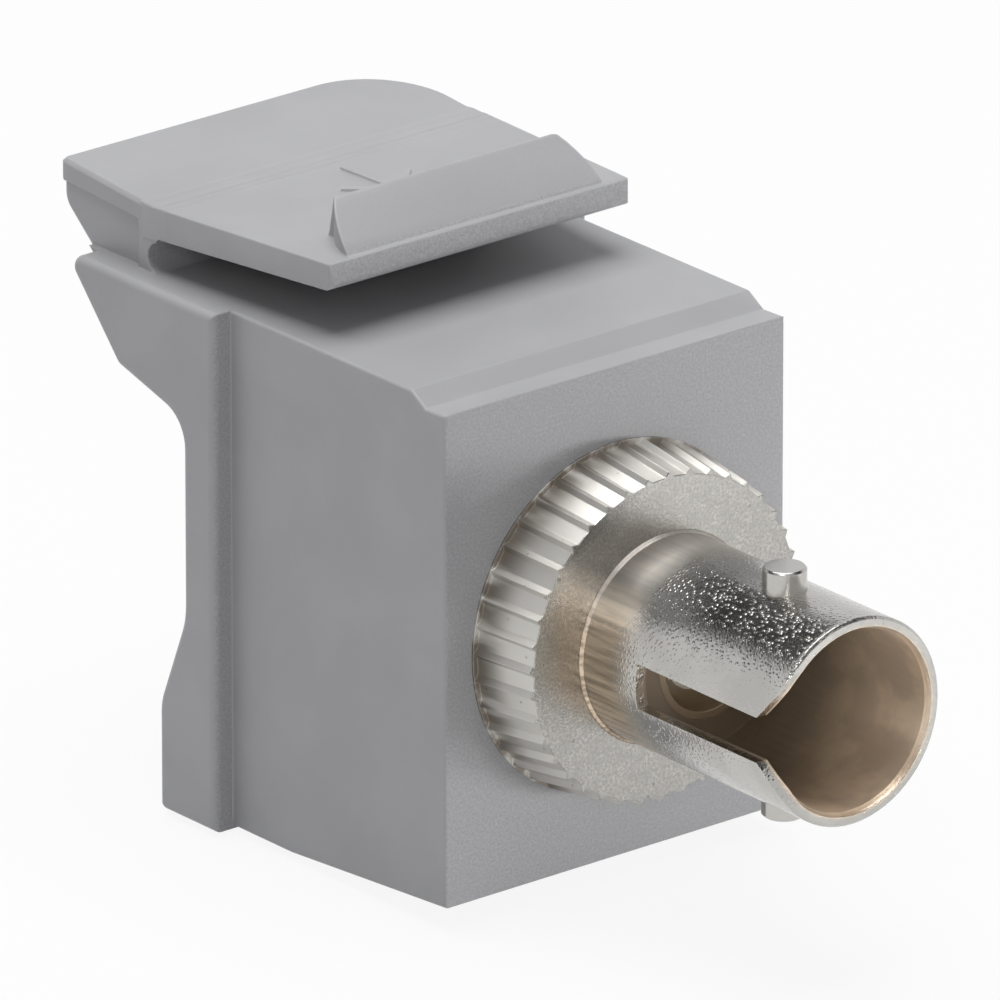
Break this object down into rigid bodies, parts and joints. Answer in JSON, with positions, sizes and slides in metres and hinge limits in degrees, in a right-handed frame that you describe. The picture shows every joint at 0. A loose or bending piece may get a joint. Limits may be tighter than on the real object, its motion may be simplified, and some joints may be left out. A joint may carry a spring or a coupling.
{
  "type": "st fibre adapter",
  "caption": "Snap-in grey plastic panel module with a latch lever and a knurled metal bayonet fibre port through its front face.",
  "frame": {"origin": "where the port axis crosses the housing's front face", "axes": "X across the width, -Y out of the front port, +Z towards the latch lever"},
  "size_m": [0.0178, 0.0363, 0.0252],
  "materials": {
    "plastic": "fine moulded grey plastic",
    "nickel": "nickel plate over a die casting",
    "holder_metal": "nickel plated turned brass",
    "ceramic": "polished white zirconia"
  },
  "bodies": {
    "module": {"housing": "plastic", "knurled_ring": "nickel", "front_receptacle": "nickel", "rear_receptacle": "nickel", "front_upper_pin": "nickel", "front_lower_pin": "nickel", "rear_upper_pin": "nickel", "rear_lower_pin": "nickel", "front_sleeve_holder": "holder_metal", "rear_sleeve_holder": "holder_metal", "alignment_sleeve": "ceramic"},
    "latch": {"latch_lever": "plastic"}
  },
  "joints": [
    {"name": "latch_flex", "type": "hinge", "parent": "module", "child": "latch", "pos_m": [0, 0.0171, 0.0122], "axis": [1, 0, 0], "range_deg": [0, 9], "stiffness_Nm_per_rad": 0.1}
  ]
}
